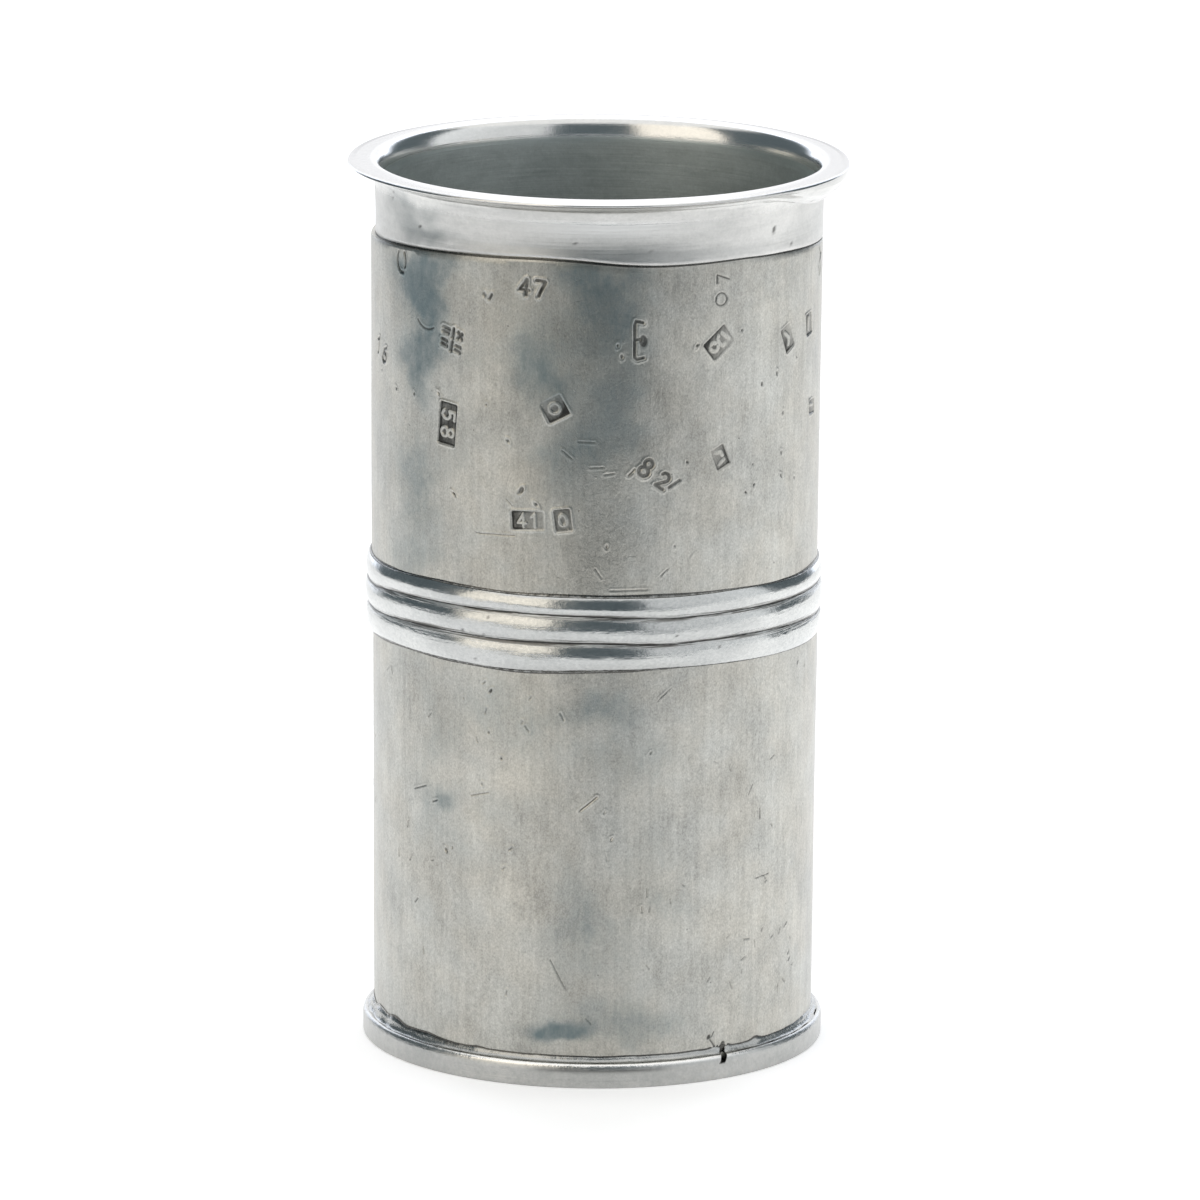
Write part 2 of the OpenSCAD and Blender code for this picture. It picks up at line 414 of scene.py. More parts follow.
def dull_finish():
    material, f = new_finish("dull_pewter")
    rings = f.noise(0.5, 2, 0.5)
    cloud = f.noise(0.07, 5, 0.65)
    mottle = f.noise(0.8, 4, 0.7)
    colour = f.blend(0.5 + 0.6 * cloud + 0.2 * mottle, (0.30, 0.31, 0.31), (0.50, 0.49, 0.47))
    stained = f.blend(f.step(mottle + 0.5 * cloud, 0.35, 1.2) * 0.5, colour, (0.14, 0.15, 0.15))
    rough = 0.48 + 0.08 * cloud + 0.05 * mottle
    f.metal(stained, rough, mottle + 0.6 * rings, 0.03)
    return material


dull_pewter = dull_finish()
groove_arc = [(30 + 0.6 * np.cos(t), BASE_Z + 0.6 * np.sin(t)) for t in np.linspace(0, np.pi, 9)]
bm = turned([(0.4, BASE_Z)] + groove_arc[::-1] + [
    (BASE_SEAT_R - 0.05, BASE_Z), (BASE_SEAT_R - 0.05, BASE_TOP - 0.05), (0.4, BASE_TOP - 0.05)],
    step=1.5)
a, r, z = polar(bm)
top = z > BASE_TOP - 0.1
ripple = 0.12 * np.cos(r * 0.55) * (r < 42) + waviness(a, r, 0.05, 8)
# The innermost ring is drawn together at the axis and merged into one point.
hub = r < 0.5
place(bm, a, np.where(hub, 0.0005, r), z + np.where(top & ~hub, np.minimum(ripple, 0) * 0.5, 0))
bmesh.ops.remove_doubles(bm, verts=bm.verts, dist=0.01)
base_plate = piece("base_plate", bm, dull_pewter)
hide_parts("base_disc")
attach(base_plate, "root")

# The base is made tight from below by a hollow fillet of soft solder, wiped round with the
# iron, so that its edge is a little ragged.


def solder_finish():
    material, f = new_finish("solder")
    cloud = f.noise(0.12, 4, 0.6)
    lumps = f.noise(0.9, 4, 0.65)
    colour = f.blend(0.5 + 0.6 * cloud, (0.36, 0.37, 0.365), (0.52, 0.52, 0.50))
    dirty = f.blend(f.step(0.8 * lumps + f.layer("grime") * 2.2, 0.5, 1.6) * 0.92, colour,
                    (0.07, 0.068, 0.062))
    f.metal(dirty, 0.27 + 0.08 * lumps, lumps + 0.5 * cloud, 0.05)
    return material


def fillet(wall_r, ledge_z, w, h, way, steps=8):
    """Hollow corner of solder between a wall and a ledge, as an outline."""
    t = np.radians(np.linspace(way * -90, way * -180, steps + 1))
    return [(wall_r, ledge_z)] + list(zip(wall_r + w + w * np.cos(t),
                                          ledge_z + way * h + h * np.sin(t)))


solder = solder_finish()
seat = BASE_SEAT_R - 0.05
bm = turned([(2 * seat - r0, z0) for r0, z0 in fillet(seat, BASE_Z - 0.05, 1.2, 1.2, -1)], step=0.5)
a, r, z = polar(bm)
ragged = waviness(a, z, 0.35, 21)
place(bm, a, np.where(r < seat - 0.05, np.minimum(r + ragged, seat - 0.02), r), z)
base_fillet = piece("base_fillet", bm, solder, grime=smooth(seat - r, 0.7, 1.2) * 0.3)
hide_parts("base_solder")
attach(base_fillet, "root")

# The upper drum is the second casting, lapped into the lower one under the band. All the
# checking marks are struck into it: numbers and simple punches, by many hands and years, so
# that hardly two stand level. Its upper edge was filed by eye and runs in a slow wave.
SEAM_Z = 165.2
BORE_TOP = drum_r(SEAM_Z) - WALL
SEAM_ANGLES = [-180, -130, -90, -61, -44, -37, -25, -15, -4, 6, 16, 27, 40, 47, 54, 64, 90, 135,
               180]
SEAM_HEIGHTS = [164.5, 164.0, 164.1, 165.4, 166.1, 166.4, 166.7, 167.0, 166.7, 165.9, 165.5,
                165.55, 165.7, 165.4, 165.3, 164.9, 163.9, 163.8, 164.5]


def wander(a, angles, heights):
    """Height of a line that was set out by eye, taken smoothly round through its points."""
    fine = np.arange(-540, 541, 1.0)
    line = np.interp(turn_from(fine, 0), angles, heights)
    soft = np.exp(-(np.arange(-12, 13) / 4.5) ** 2)
    line = np.convolve(line, soft / soft.sum(), "same")
    return np.interp(a, fine, line)


def seam_wave(a, z):
    """How far the seam under the collar departs from level, fading above and below it."""
    wave = wander(a, SEAM_ANGLES, SEAM_HEIGHTS) - SEAM_Z
    return wave * smooth(z, 148, 159) * (1 - smooth(z, 165.6, 171.5))


def bow(x, y, rx, ry, start, end, n=14):
    """A curved stroke, part of an ellipse."""
    t = np.radians(np.linspace(start, end, n + 1))
    return list(zip(x + rx * np.cos(t), y + ry * np.sin(t)))


NUMERALS = {
    "1": [[(0.1, 0.78), (0.34, 1.0), (0.34, 0.0)]],
    "2": [bow(0.3, 0.72, 0.28, 0.28, 160, -35) + [(0.0, 0.0), (0.6, 0.0)]],
    "4": [[(0.62, 0.3), (0.0, 0.3), (0.45, 1.0), (0.45, 0.0)]],
    "5": [[(0.56, 1.0), (0.1, 1.0), (0.06, 0.56)] + bow(0.27, 0.32, 0.3, 0.32, 125, -140)],
    "6": [bow(0.3, 0.3, 0.28, 0.3, 0, 360), [(0.03, 0.38), (0.14, 0.74), (0.46, 1.0)]],
    "7": [[(0.0, 1.0), (0.6, 1.0), (0.2, 0.0)]],
    "8": [bow(0.3, 0.26, 0.29, 0.26, 0, 360), bow(0.3, 0.77, 0.23, 0.23, 0, 360)],
}


def numerals(text, height, gap=0.95, turn=0.0):
    """The strokes of a plain number centred on its place, in millimetres."""
    lines = []
    for i, sign in enumerate(text):
        along = (i - (len(text) - 1) / 2) * gap - 0.3
        lines += [[((along + x) * height, (y - 0.5) * height) for x, y in line]
                  for line in NUMERALS[sign]]
    c, s = np.cos(np.radians(turn)), np.sin(np.radians(turn))
    return [[(x * c - y * s, x * s + y * c) for x, y in line] for line in lines]


def to_strokes(u, v, lines, half):
    """Distance from the edge of strokes that are drawn along lines."""
    best = np.full(len(u), 99.0)
    for line in lines:
        for (x0, y0), (x1, y1) in zip(line, line[1:]):
            dx, dy = x1 - x0, y1 - y0
            t = np.clip(((u - x0) * dx + (v - y0) * dy) / (dx * dx + dy * dy + 1e-9), 0, 1)
            best = np.minimum(best, np.hypot(u - x0 - t * dx, v - y0 - t * dy))
    return best - half


def to_box(u, v, w, h, corner=0.3):
    """Distance from the edge of a rectangle with soft corners."""
    dx = abs(u) - w / 2 + corner
    dy = abs(v) - h / 2 + corner
    outer = np.hypot(np.maximum(dx, 0), np.maximum(dy, 0))
    return outer + np.minimum(np.maximum(dx, dy), 0) - corner


def struck(lines, half, depth):
    """Strokes driven straight into the wall."""
    def form(u, v):
        return groove(to_strokes(u, v, lines, half), depth)
    return form


def cartouche(w, h, lines, half, depth, lean=0.0, across=0.0, dirt=1.1):
    """A sunk field with the strokes left standing in it. The punch leaned, so that one side
    went in deeper than the other."""
    def form(u, v):
        field, inside = groove(to_box(u, v, w, h), depth)
        share = np.clip(1 + lean * u / w * 2 + across * v / h * 2, 0.06, 1.6)
        up = 1 - smooth(to_strokes(u, v, lines, half), -0.08, 0.08)
        floor = smooth(-to_box(u, v, w, h), -0.05, 0.5)
        grime = inside * (1 - up) * share * (1 - 0.35 * floor) * dirt
        return (field + up * inside * depth * 0.75) * share, grime
    return form


ring = [bow(0, 0, 1.1, 1.1, 0, 360)]
marks = [
    (-16.2, 159.7, -4, 6, struck(numerals("47", 3.0, 1.1), 0.31, 0.22)),
    (-39.2, 149.3, -12, 6, struck([[(-2.4, 1.6), (-0.9, 1.6)], [(-2.4, 0.9), (-1.0, 0.9)],
                                   [(-2.4, -0.7), (-1.1, -0.7)], [(-2.3, -1.6), (-0.9, -1.6)],
                                   [(0.2, 2.0), (0.2, 0.4)], [(0.3, -0.4), (0.3, -2.2)],
                                   [(1.4, 1.8), (2.4, 0.8)], [(1.5, 0.7), (2.3, 1.7)],
                                   [(1.3, -0.9), (2.4, -0.9)], [(1.3, -1.8), (2.4, -1.9)]],
                                  0.32, 0.22)),
    (-71.3, 143.1, -18, 6, struck(numerals("16", 3.3, 1.2), 0.26, 0.18)),
    (-40.5, 132.2, -5, 7, cartouche(4.3, 8.4, numerals("58", 3.2, 1.1, -90), 0.36, 0.3, -0.1,
                                  dirt=1.7)),
    (-10.3, 137.5, 28, 6, cartouche(4.6, 4.4, ring, 0.3, 0.2, 0.2, -0.7)),
    (-17.1, 114.7, 3, 6, cartouche(6.6, 3.6, numerals("41", 2.7, 1.0), 0.3, 0.24, -0.55)),
    (-8.1, 115.1, 8, 6, cartouche(3.3, 4.3, [bow(0, 0, 0.75, 1.15, 0, 360)], 0.3, 0.28)),
    (12.9, 125.6, -35, 5, struck(numerals("8", 3.5), 0.38, 0.26)),
    (17.4, 122.9, -35, 5, struck(numerals("2", 3.1), 0.34, 0.24)),
    (9.2, 124.8, 42, 4, struck([[(-0.8, 0), (0.9, 0.1)]], 0.2, 0.12)),
    (20.4, 122.2, 30, 4, struck([[(-1.4, 0), (1.2, 0)]], 0.3, 0.08)),
    (33.3, 126.6, 24, 6, cartouche(3.2, 4.4, [[(-0.6, 1.3), (0.5, 0.9), (0.6, 0.1)],
                                              [(-0.7, -1.2), (0.6, -0.9)]], 0.42, 0.17, 0.3, -0.4)),
    (33.4, 162.0, 0, 5, struck(numerals("7", 2.9, 1.0, 90), 0.14, 0.1)),
    (32.9, 157.9, 0, 5, struck([bow(0, 0, 1.3, 1.25, 0, 360)], 0.15, 0.11)),
    (32.5, 149.6, 38, 7, cartouche(6.0, 4.2, [bow(-1.4, 0.1, 0.8, 0.9, 30, 330),
                                              bow(0.6, 0, 0.6, 1.1, 90, 300),
                                              [(1.6, 1.1), (2.2, -0.9)]], 0.4, 0.17, -0.35, 0.4)),
    (10.6, 151, 0, 7, struck([[(0.9, 3.4), (-0.5, 3.7), (-0.7, 3.0), (-0.7, -3.2), (-0.2, -3.6),
                               (1.1, -3.3)], [(-0.6, 0.2), (0.1, 0.3)]], 0.3, 0.22)),
    (11.8, 151, 0, 7, pit(0.8, 0.06)),
    (57.5, 148.0, 24, 6, cartouche(3.4, 5.2, [[(-0.5, 1.4), (0.4, -0.2), (-0.3, -1.4)]],
                                   0.45, 0.2, -0.5, -0.3)),
    (69.6, 149.2, 8, 6, cartouche(3.2, 4.4, [[(0.2, 1.2), (-0.3, -1.1)]], 0.5, 0.2, -0.4)),
    (73, 131.9, 0, 5, cartouche(3.4, 2.8, [[(-0.8, 0.4), (0.9, 0.2)]], 0.35, 0.2, -0.5)),
    (80, 161.5, 0, 6, struck([[(-1.2, 2.6), (0.4, 1.1)], [(0.8, 1.4), (-0.6, -0.2)],
                              [(-0.2, -0.6), (1.0, -2.4)], [(-1.6, -1.2), (-0.4, -2.8)]],
                             0.2, 0.16)),
    (-58.7, 162.3, 0, 6, struck([bow(-0.2, 0.3, 1.3, 2.1, 130, 250),
                                 bow(0.5, 0.4, 1.1, 2.0, 50, -40),
                                 [(-0.3, -2.0), (0.7, -2.1)]], 0.26, 0.16)),
    (-47.5, 151.6, 0, 6, struck([bow(0, 2.2, 3.6, 3.4, 215, 300, 20)], 0.14, 0.05)),
    (-27.4, 157.6, 60, 4, struck([[(-0.5, 0), (0.5, 0)]], 0.22, 0.15)),
    (-29.2, 157.9, 0, 4, pit(0.3, 0.1)),
]
for a0, z0, width, depth, slant in [
        (23.7, 126.3, 0.2, 0.16, 0), (55.6, 133.2, 0.17, 0.14, -0.3), (55, 125.2, 0.18, 0.15, 0),
        (43.9, 124.1, 0.15, 0.12, 0.2), (44.4, 119.9, 0.2, 0.18, -0.3),
        (41.6, 118.7, 0.2, 0.18, 0.4), (55.1, 120.5, 0.2, 0.16, 0.5),
        (61.7, 119.2, 0.13, 0.12, 0), (26.1, 149.5, 0.22, 0.18, -0.5),
        (39.5, 151.4, 0.18, 0.16, -0.3), (52.7, 141.5, 0.22, 0.18, 0),
        (46.8, 140.0, 0.3, 0.08, 0), (-18.9, 120.7, 0.42, 0.26, -0.4),
        (-14.9, 118.1, 0.2, 0.18, 0.8), (-38.3, 118.3, 0.24, 0.2, 0.7),
        (-22.4, 130.4, 0.2, 0.18, 0.4), (-43.5, 138.0, 0.2, 0.14, 0.5),
        (-53.0, 136.8, 0.16, 0.12, 0.2), (-61.5, 136.6, 0.15, 0.12, 0.5),
        (-28.5, 137.2, 0.13, 0.1, 0), (-71.0, 139.0, 0.15, 0.1, 0), (5.4, 150.2, 0.2, 0.15, 0),
        (6.4, 148.1, 0.3, 0.14, 0), (3.0, 110.0, 0.22, 0.12, 0), (20.5, 109.6, 0.14, 0.1, 0),
        (62.0, 143.6, 0.13, 0.1, 0)]:
    marks.append((a0, z0, 0, 2.2, pit(width, depth, slant)))
for a0, z0, tilt, length in [
        (-2.2, 131.0, -2, 3.2), (0.4, 125.9, 3, 2.6), (-7.0, 128.4, -40, 2.4),
        (3.5, 124.6, 8, 2.0), (-22.0, 118.0, -45, 1.8), (8.8, 101.1, 0, 7.6),
        (-26.0, 111.3, 2, 8.5), (1.0, 104.6, -55, 2.2), (17.8, 104.4, 40, 2.0)]:
    marks.append((a0, z0, tilt, length / 2 + 1.5, scratch(length, 0.07, 0.07)))
top_tarnish = [
    (-47, 158.5, 8, 8, 0.72), (-53, 162, 6, 6, 0.5), (-44, 152, 6, 5, 0.4), (-34, 163, 7, 3, 0.15),
    (-53, 149, 9, 12, 0.42), (-34, 147, 8, 3, 0.25), (-15, 143.5, 8, 6, 0.55),
    (3, 158, 10, 9, 0.66), (8, 147, 6, 11, 0.32), (0, 163, 12, 4, 0.3), (-16, 152, 8, 5, 0.3),
    (-6, 147, 9, 8, 0.35), (0, 133, 11, 10, 0.46), (-7, 126, 8, 9, 0.29), (8, 137, 6, 10, 0.2),
    (0, 115, 14, 11, 0.15), (-50, 143, 6, 8, 0.4), (-49, 117, 8, 18, 0.34),
    (-60, 111, 6, 8, 0.15), (-26, 158, 8, 6, 0.15), (-37, 129, 4, 7, 0.2), (-30, 108, 9, 7, 0.12),
    (-55, 121, 9, 10, 0.2), (-56, 101, 10, 8, 0.28), (-50, 137, 5, 5, 0.25),
    (-62, 160, 6, 7, 0.32), (-20, 140, 5, 4, 0.15),
]
low_edge = JOINT_Z - LAP / 2
bm = turned([
    (drum_r(low_edge) - WALL, low_edge),
    (drum_r(JOINT_Z) - WALL / 2 - 0.05, low_edge),
    (drum_r(JOINT_Z) - WALL / 2 - 0.05, JOINT_Z + LAP / 2),
    (drum_r(JOINT_Z + LAP / 2), JOINT_Z + LAP / 2),
    (drum_r(SEAM_Z - 0.35), SEAM_Z - 0.35),
    (drum_r(SEAM_Z) - 0.12, SEAM_Z),
    (BORE_TOP + WALL / 2, SEAM_Z),
    (BORE_TOP + WALL / 2, SEAM_Z - LAP - 0.05),
    (BORE_TOP, SEAM_Z - LAP - 0.05)])
spots = []
for a0, z0, tilt, reach, form in marks:
    across, up = (reach - 2.2, reach - 2.2) if reach > 4 else (reach * 0.5, reach * 0.4)
    spots.append((a0, z0, across, up))
refine(bm, spots)
a, r, z = polar(bm)
outside = (r > drum_r(z) - 0.2) & (z > JOINT_Z + LAP / 2 - 0.01)
sunk, grime = relief_of_marks(a, z, marks)
proud = 0.12 * smooth(z, 160, 165) * smooth(a, -70, -45) * (1 - smooth(a, 0, 20))
r = r + np.where(outside, sunk + waviness(a, z, 0.07, 5) + proud, 0)
place(bm, a, r, z + seam_wave(a, z), -0.2)
upper_drum = piece("upper_drum_wall", bm, cast_pewter, grime=grime * outside,
                   tarnish=patches(a, z, top_tarnish) * outside)
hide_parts("upper_drum")
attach(upper_drum, "root")

# The band hides the joint of the drums: three reeds turned on one sleeve of pewter, polished
# by handling. Its edges and grooves run a little out of level. Each reed has its thickness at
# its lower and upper edge, how far it swells out between them, and where it is fullest.
REED_EDGES = [83.8, 89.1, 94.6, 98.9]
BAND_LOW, BAND_TOP = REED_EDGES[0], REED_EDGES[-1]
REEDS = [(0.4, 0.62, 0.56, 0.42), (0.62, 0.62, 0.64, 0.44), (0.62, 0.4, 0.54, 0.5)]
BAND_ANGLES = [-180, -120, -82, -73, -64, -47, -20, 0, 20, 41, 64, 76, 120, 180]
BAND_WAVES = [
    [0.6, 0.6, 0.0, 0.8, 1.1, 1.1, 0.6, 1.2, 1.3, 0.9, 0.4, 0.2, 0.4, 0.6],
    [0.6, 0.6, 0.4, 0.5, 0.9, 1.6, 1.3, 1.5, 0.7, 1.1, 0.3, -0.4, 0.2, 0.6],
    [0.6, 0.6, -0.2, -0.2, 0.8, 1.5, 1.5, 1.3, 0.5, 0.6, 0.4, 0.2, 0.4, 0.6],
    [0.4, 0.4, 0.4, 0.4, 0.5, 1.2, 0.7, 0.7, 0.4, 0.5, -0.3, -0.1, 0.2, 0.4]]


def band_wave(a, z):
    """How far the band's edges and grooves depart from level."""
    waves = np.array([wander(a, BAND_ANGLES, wave) for wave in BAND_WAVES])
    at = np.clip(np.interp(z, REED_EDGES, [0, 1, 2, 3]), 0, 2.999)
    low = at.astype(int)
    n = np.arange(len(a))
    return waves[low, n] * (1 - at + low) + waves[low + 1, n] * (at - low)


def reed_outline(z0, z1, t0, t1, bulge, crest, steps=18):
    """One reed: a round back over its chord, fullest at its crest."""
    out = []
    for s in np.linspace(0, 1, steps + 1):
        z = z0 + (z1 - z0) * s
        away = abs(s - crest) / (crest if s < crest else 1 - crest)
        out.append((drum_r(z) + t0 + (t1 - t0) * s + bulge * (1 - away ** 2.3), z))
    return out


def polished_finish():
    material, f = new_finish("polished_pewter")
    lines = f.noise(0.9, 3, 0.6, (0.03, 0.03, 1.6))
    streak = f.noise(1.6, 3, 0.65, (0.05, 0.05, 1.8))
    cloud = f.noise(0.09, 4, 0.6)
    dent = f.noise(0.24, 2, 0.5, (0.6, 0.6, 1.6))
    mottle = f.noise(0.9, 3, 0.65, (1, 1, 2.0))
    wool = f.noise(2.4, 2, 0.6, (0.6, 0.6, 1.0))
    tone = 0.5 + 0.4 * cloud + 0.35 * mottle + 0.5 * wool
    colour = f.blend(tone, (0.47, 0.482, 0.475), (0.655, 0.66, 0.645))
    lined = f.blend(f.step(lines, 0.2, 1.3) * 0.25, colour, (0.30, 0.31, 0.31))
    hollow = f.layer("hollow")
    # In the grooves the colour darkens in streaks: partly dirt, partly painted shade, a dark band
    # where the hollow reflects the reeds beside it.
    groove_dirt_and_shade = f.blend(f.step(hollow * 0.8 + 1.3 * streak, 0.55, 0.95) * (hollow * 0.9), lined,
                       (0.11, 0.105, 0.095))
    dirty = f.blend(f.step(f.layer("seam") + 0.3 * mottle + 0.3 * streak, 0.3, 0.9), groove_dirt_and_shade,
                    (0.05, 0.05, 0.048))
    colour = f.blend(f.layer("grime") * 0.9, dirty, (0.04, 0.038, 0.035))
    rough = 0.19 + 0.04 * cloud + 0.03 * lines + 0.12 * hollow
    relief = 0.9 * lines + 0.8 * mottle + 0.35 * wool + 4.0 * dent + hollow * streak * 8.0
    f.metal(colour, rough, relief, 0.012)
    return material


polished_pewter = polished_finish()
outline = []
for z0, z1, reed in zip(REED_EDGES, REED_EDGES[1:], REEDS):
    outline += reed_outline(z0, z1, *reed)[:-1]
outline += [(drum_r(BAND_TOP) + 0.4, BAND_TOP), (drum_r(BAND_TOP) + 0.05, BAND_TOP),
            (drum_r(BAND_LOW) + 0.05, BAND_LOW)]
bm = turned(outline, angles=np.arange(480) * 0.75, step=0.8)
a, r, z = polar(bm)
outside = r > drum_r(z) + 0.2
hollow = np.zeros(len(a))
seam = np.zeros(len(a))
for g in REED_EDGES[1:3]:
    hollow = np.maximum(hollow, 1 - smooth(abs(z - g), 0.2, 1.3))
    seam = np.maximum(seam, np.exp(-((z - g) / 0.2) ** 2))
seam = np.maximum(seam, 0.8 * (1 - smooth(z - BAND_LOW, 0.1, 0.4)))
reed_marks = [(x, y, 0, 1.6, pit(w, 0.12)) for x, y, w in [
    (-26.8, 93.2, 0.2), (-34.5, 89.9, 0.14), (-28.3, 89.6, 0.18), (-30.9, 84.9, 0.14),
    (-23.0, 97.6, 0.14), (21.0, 91.0, 0.12), (33.0, 87.5, 0.12)]]
sunk, grime = relief_of_marks(a, z, reed_marks)
knocks = waviness(a, z, 0.06, 11) + waviness(a * 3, z * 4, 0.025, 12)
worn = 0.07 * np.exp(-(a / 10) ** 2 - ((z - 86.0) / 0.9) ** 2)
worn += 0.05 * np.exp(-((a - 2) / 12) ** 2 - ((z - 96.2) / 0.6) ** 2)
r = r + np.where(outside, sunk * 0.7 + knocks + worn, 0)
place(bm, a, r, z + band_wave(a, z), -0.25)
reed_band = piece("reeded_band", bm, polished_pewter, hollow=hollow * outside,
                  seam=seam * outside, grime=grime * outside)
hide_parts("reed_band")
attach(reed_band, "root")

# A thin line of solder holds the band above and another below. They are of uneven height,
# follow the wave of the band's edges and have dirt in them.
for name, node, edge_z, way, seed in [
        ("band_fillet_upper", "band_solder_upper", BAND_TOP + 0.05, 1, 31),
        ("band_fillet_lower", "band_solder_lower", BAND_LOW - 0.05, -1, 32)]:
    bm = turned(fillet(drum_r(edge_z) + 0.03, edge_z, 0.33, 0.5, way), step=0.3)
    a, r, z = polar(bm)
    away = abs(z - edge_z)
    uneven = 1 + 4 * waviness(a * 2, z * 0, 0.2, seed)
    z = edge_z + (z - edge_z) * np.clip(uneven, 0.5, 1.5)
    place(bm, a, r, z + band_wave(a, z), -0.22)
    line = piece(name, bm, solder, grime=0.5 + 0.3 * smooth(away, 0.1, 0.5))
    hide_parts(node)
    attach(line, "root")

# The collar and the flared lip are one fine casting, turned all over and polished. The
# brim lies flat for levelling the liquid off, its edge is worn thin, and on the right the
# metal under it was left thicker.
TOP_Z = 179.4
COLLAR_R = 44.66
LIP_R = 50.03
LIP_H = 0.8
COVE_H = 4.2
THROAT_W = 2.1
THROAT_H = 4.6
LEAN_Z = 166.8
LEAN_H = 5.7
THICK_UNDERSIDE = ([44.7, 46.1, 47.4, 48.85, 49.6], [172.9, 173.8, 174.6, 175.7, 177.6])


def arc(cr, cz, ar, az, start, end, steps):
    """Part of an ellipse in an outline, about a centre at radius cr and height cz."""
    t = np.radians(np.linspace(start, end, steps + 1))
    return list(zip(cr + ar * np.cos(t), cz + az * np.sin(t)))


def turned_finish():
    material, f = new_finish("turned_pewter")
    lines = f.noise(0.9, 4, 0.65, (0.03, 0.03, 2.2))
    cloud = f.noise(0.07, 4, 0.6)
    drift = f.noise(0.16, 4, 0.6, (0.35, 0.35, 1.4))
    mottle = f.noise(0.7, 3, 0.6)
    wool = f.noise(1.9, 2, 0.6)
    wisp = f.noise(0.34, 4, 0.65, (0.45, 0.45, 1.5))
    tone = 0.5 + 0.35 * drift + 0.25 * cloud + 0.25 * mottle + 0.35 * wool
    tone = tone + 0.2 * lines + 0.62 * wisp
    colour = f.blend(tone, (0.505, 0.507, 0.492), (0.655, 0.65, 0.63))
    # Painted highlight: 'bright' lightens the brim's top, the front of the collar and cove and the
    # throat's upper band.
    colour = f.blend(f.layer("bright"), colour, (0.82, 0.82, 0.805))
    # Painted shade: 'side' darkens the brim's top at its sides.
    colour = f.blend(f.layer("side") * (0.9 + 0.3 * wool), colour, (0.52, 0.517, 0.505))
    # Painted shade: the back of the brim's outer edge is darker.
    colour = f.blend(f.layer("rim"), colour, (0.22, 0.22, 0.215))
    tarnish = f.step(f.layer("tarnish") + 0.16 * drift + 0.16 * wisp, 0.05, 0.95)
    toned = f.blend(tarnish, colour, (0.17, 0.195, 0.20))
    lined = f.blend(f.step(lines, 0.1, 1.4) * 0.22, toned, (0.28, 0.285, 0.28))
    # Dirt in the marks, and under the lip's edge a painted shade line.
    colour = f.blend(f.layer("grime") * 0.9, lined, (0.04, 0.038, 0.035))
    inner = f.layer("inner")
    colour = f.tint(inner, colour, (1.0, 1.0, 1.0), (0.90, 0.985, 1.0))
    rough = f.layer("polish") * -0.16 + 0.34 + 0.04 * drift + 0.10 * tarnish + 0.25 * inner
    f.metal(colour, rough, lines + 0.5 * mottle + 0.8 * drift + 0.2 * wool, 0.012)
    return material


turned_pewter = turned_finish()
lip_edge = arc(LIP_R - 0.2, TOP_Z - 0.62, 0.2, 0.2, -75, 0, 5)
lip_edge += arc(LIP_R - 1.3, TOP_Z - 0.62, 1.3, 0.62, 0, 90, 14)[1:]
cove_out = LIP_R - 0.4 - COLLAR_R
cove = [(COLLAR_R + cove_out * t ** 4, TOP_Z - LIP_H - COVE_H * (1 - t))
        for t in np.linspace(0, 1, 22)]
throat = arc(BORE_TOP + THROAT_W, TOP_Z - THROAT_H, THROAT_W, THROAT_H, 90, 180, 26)
lap_r = BORE_TOP + WALL / 2 - 0.05
bm = turned([(lap_r, SEAM_Z - LAP), (lap_r, SEAM_Z + 0.35), (COLLAR_R - 0.08, SEAM_Z + 0.35),
             (COLLAR_R, SEAM_Z + 0.5)] + cove + lip_edge + throat + [(BORE_TOP, SEAM_Z - LAP)],
            angles=np.arange(360), step=0.6)
collar_marks = [(-64.5, 175.2, 70, 3, struck([[(-0.7, 0), (0.7, 0)]], 0.2, 0.12)),
                (-52, 170.2, 0, 2, pit(0.2, 0.1)), (-40.5, 168.9, 0, 2, pit(0.26, 0.12)),
                (58, 167.0, 0, 2, pit(0.14, 0.1)), (-6.0, 170.2, 0, 2, pit(0.14, 0.08)),
                (13.0, 168.8, 0, 2, pit(0.12, 0.08)), (50, 170.5, 0, 3, pit(0.5, 0.05))]
collar_tarnish = [(-64, 172.5, 8, 8, 0.38), (-52, 171.8, 8, 6, 0.28), (-45, 174.5, 7, 2.6, 0.3),
                  (-44, 168.8, 12, 2.6, 0.28), (-20, 170.2, 7, 2.0, 0.14),
                  (24, 170.6, 8, 1.6, 0.14), (-2, 168.0, 9, 1.8, 0.12), (9, 168.4, 5, 1.7, 0.3),
                  (-10, 167.6, 10, 1.2, 0.1), (62, 170, 3.2, 4, 0.18), (30, 167.6, 16, 1.2, 0.2),
                  (100, 178.8, 4, 3, 0.4)]
a, r, z = polar(bm)
out = (r > COLLAR_R - 0.15) & (z < TOP_Z - 0.6)
sunk, grime = relief_of_marks(a, z, collar_marks)
thick = smooth(a, 40, 72) * (1 - smooth(a, 120, 150)) * smooth(r, 44.7, 45.6) * out
thick = thick * (z < TOP_Z - 0.7)
z = z + np.where(thick > 0, (np.minimum(np.interp(r, *THICK_UNDERSIDE), z) - z) * thick, 0)
turned_line = 0.06 * np.exp(-((z - 176.0) / 0.22) ** 2) * (r < 45.6) * out
# The collar leans outwards, first hardly and then steadily, and so runs into the cove.
rise = np.clip((z - LEAN_Z) / LEAN_H, 0, 1)
lean = 0.935 * (rise ** 3 - rise ** 4 / 2) + 0.164 * np.clip(z - LEAN_Z - LEAN_H, 0, 3.2)
lean = lean * (1 - smooth(r, 45.0, 48.5)) * (1 - 0.7 * smooth(abs(a), 42, 75))
r = r + np.where(out & (r < 46), sunk + waviness(a, z, 0.04, 15) + turned_line, 0) + lean * out
polish = smooth(z, 173.6, 175.4)
rim_wave = waviness(a, z * 0, 0.10, 16) * smooth(z, 172, 179)
